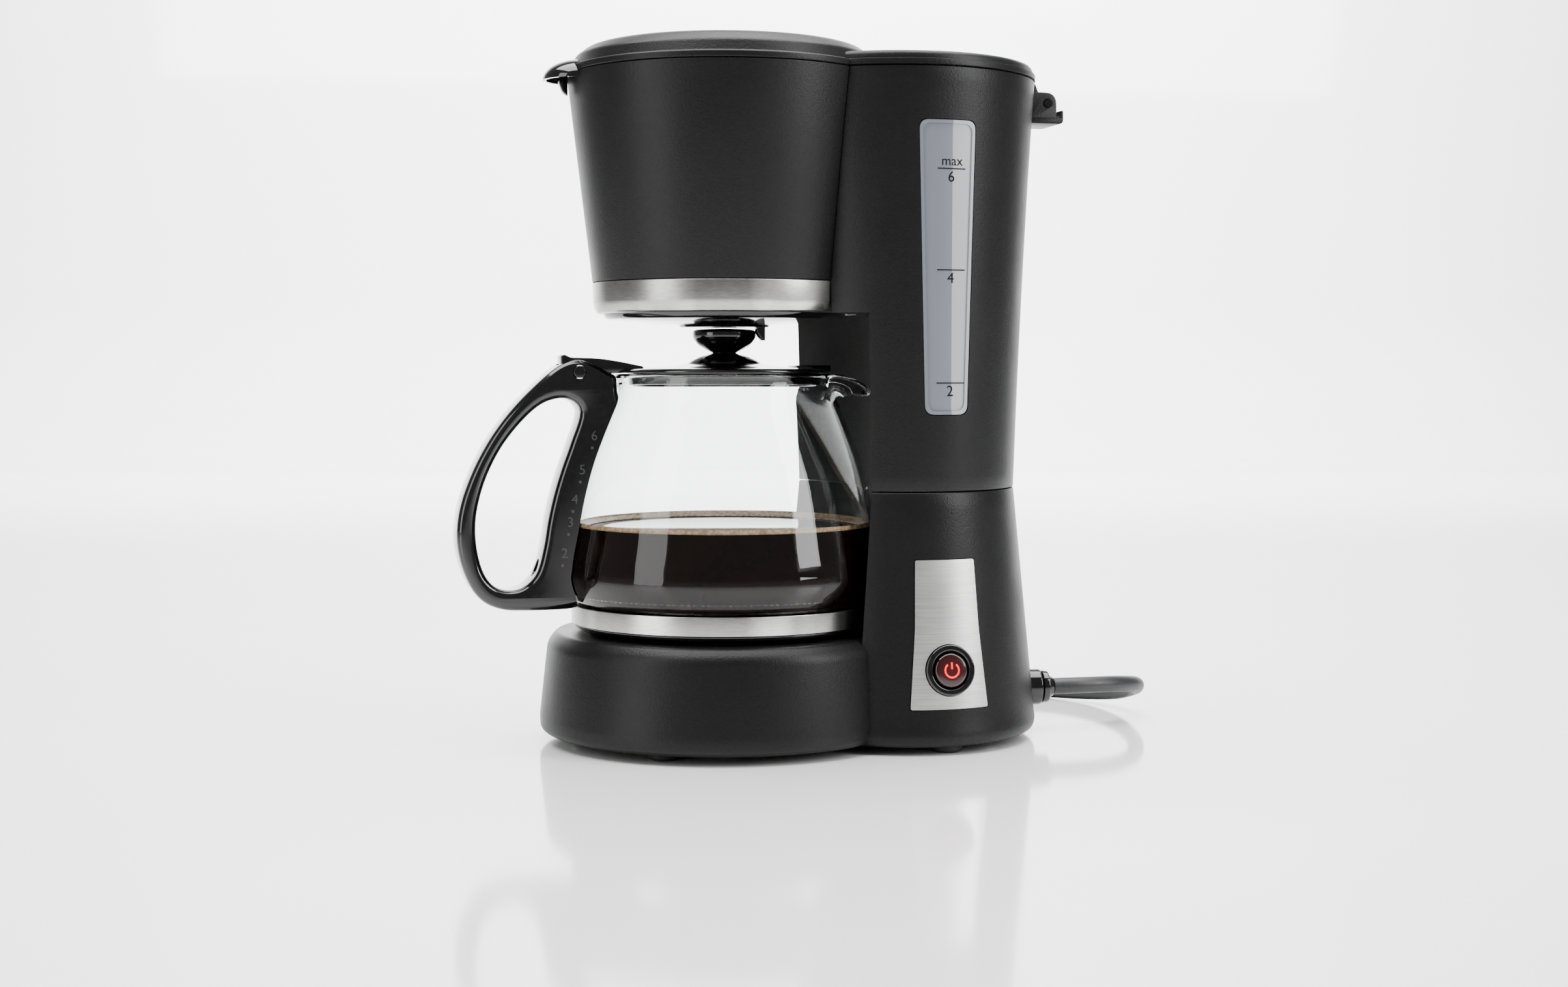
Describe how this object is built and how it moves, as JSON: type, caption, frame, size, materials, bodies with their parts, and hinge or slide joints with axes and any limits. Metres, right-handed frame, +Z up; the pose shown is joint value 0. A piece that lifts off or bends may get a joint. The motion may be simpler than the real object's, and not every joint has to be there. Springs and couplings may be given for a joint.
{
  "type": "drip coffee maker",
  "caption": "Drip coffee maker with a round brewing tower, an oval water tank with a gauge, a hinged lid, a hot plate and a glass jug",
  "frame": {"origin": "on the surface the machine stands on, under the middle of its box without the mains lead", "axes": "+Z up, +X from the jug's handle to the lid's hinge, +Y away from the switch and gauge side"},
  "size_m": [0.2803, 0.2285, 0.263],
  "materials": {
    "matte_black_plastic": "fine spark-eroded texture",
    "gloss_black_plastic": "polished",
    "inner_plastic": "plain moulded",
    "satin_steel": "satin, brushed round or across",
    "coated_steel": "dark non-stick coating",
    "cast_aluminium": "as cast",
    "clear_glass": "clear, polished",
    "tank_window": "translucent, lightly frosted",
    "soft_rubber": "moulded rubber",
    "cord_rubber": "smooth flexible sheath",
    "silicone_hose": "milky silicone",
    "filter_mesh": "fine woven mesh in a moulded frame",
    "lit_button": "dark red, lit from inside"
  },
  "bodies": {
    "housing": {"base_housing": "matte_black_plastic", "tank_housing": "matte_black_plastic", "filter_housing": "matte_black_plastic", "switch_bezel": "gloss_black_plastic", "bottom_cover": "inner_plastic", "filter_holder": "inner_plastic", "water_spout": "inner_plastic", "check_valve_body": "inner_plastic", "switch_body": "inner_plastic", "trim_band": "satin_steel", "switch_plate": "satin_steel", "hinge_pin": "satin_steel", "bottom_screw_1": "satin_steel", "bottom_screw_2": "satin_steel", "bottom_screw_3": "satin_steel", "heater_clamp": "satin_steel", "heater_clamp_screw": "satin_steel", "thermostat": "satin_steel", "thermal_fuse": "satin_steel", "valve_spring": "satin_steel", "plug_pin_1": "satin_steel", "plug_pin_2": "satin_steel", "hot_plate": "coated_steel", "heater_tube": "cast_aluminium", "water_window": "tank_window", "foot_1": "soft_rubber", "foot_2": "soft_rubber", "foot_3": "soft_rubber", "foot_4": "soft_rubber", "cord_gland": "soft_rubber", "cord_tie": "soft_rubber", "plug_body": "soft_rubber", "cord": "cord_rubber", "cord_coil": "cord_rubber", "cord_tail": "cord_rubber", "cold_water_hose": "silicone_hose", "hot_water_hose": "silicone_hose", "riser_tube": "silicone_hose", "permanent_filter": "filter_mesh"},
    "lid": {"top_lid": "matte_black_plastic", "lid_finger_tab": "gloss_black_plastic"},
    "carafe": {"carafe_glass": "clear_glass", "carafe_band": "satin_steel", "carafe_base_ring": "gloss_black_plastic", "handle": "gloss_black_plastic", "handle_screw": "satin_steel", "carafe_lid_pin": "gloss_black_plastic", "carafe_lid": "gloss_black_plastic"},
    "valve_plunger": {"drip_valve": "gloss_black_plastic"},
    "button": {"power_button": "lit_button"},
    "ball": {"check_ball": "satin_steel"}
  },
  "joints": [
    {"name": "lid_hinge", "type": "hinge", "parent": "housing", "child": "lid", "pos_m": [0.1108, 0, 0.2452], "axis": [0, 1, 0], "range_deg": [0, 100]},
    {"name": "jug_slide", "type": "slide", "parent": "housing", "child": "carafe", "axis": [-1, 0, 0], "range_m": [0, 0.15]},
    {"name": "button_press", "type": "slide", "parent": "housing", "child": "button", "axis": [0, 0.9928, -0.1201], "range_m": [0, 0.0025], "stiffness_N_per_m": 300, "springref_m": -0.001},
    {"name": "valve_lift", "type": "slide", "parent": "housing", "child": "valve_plunger", "axis": [0, 0, 1], "range_m": [0, 0.003], "stiffness_N_per_m": 60, "springref_m": -0.003, "deforming": ["valve_spring"]},
    {"name": "ball_lift", "type": "slide", "parent": "housing", "child": "ball", "axis": [0, 0, 1], "range_m": [0, 0.0028]}
  ]
}
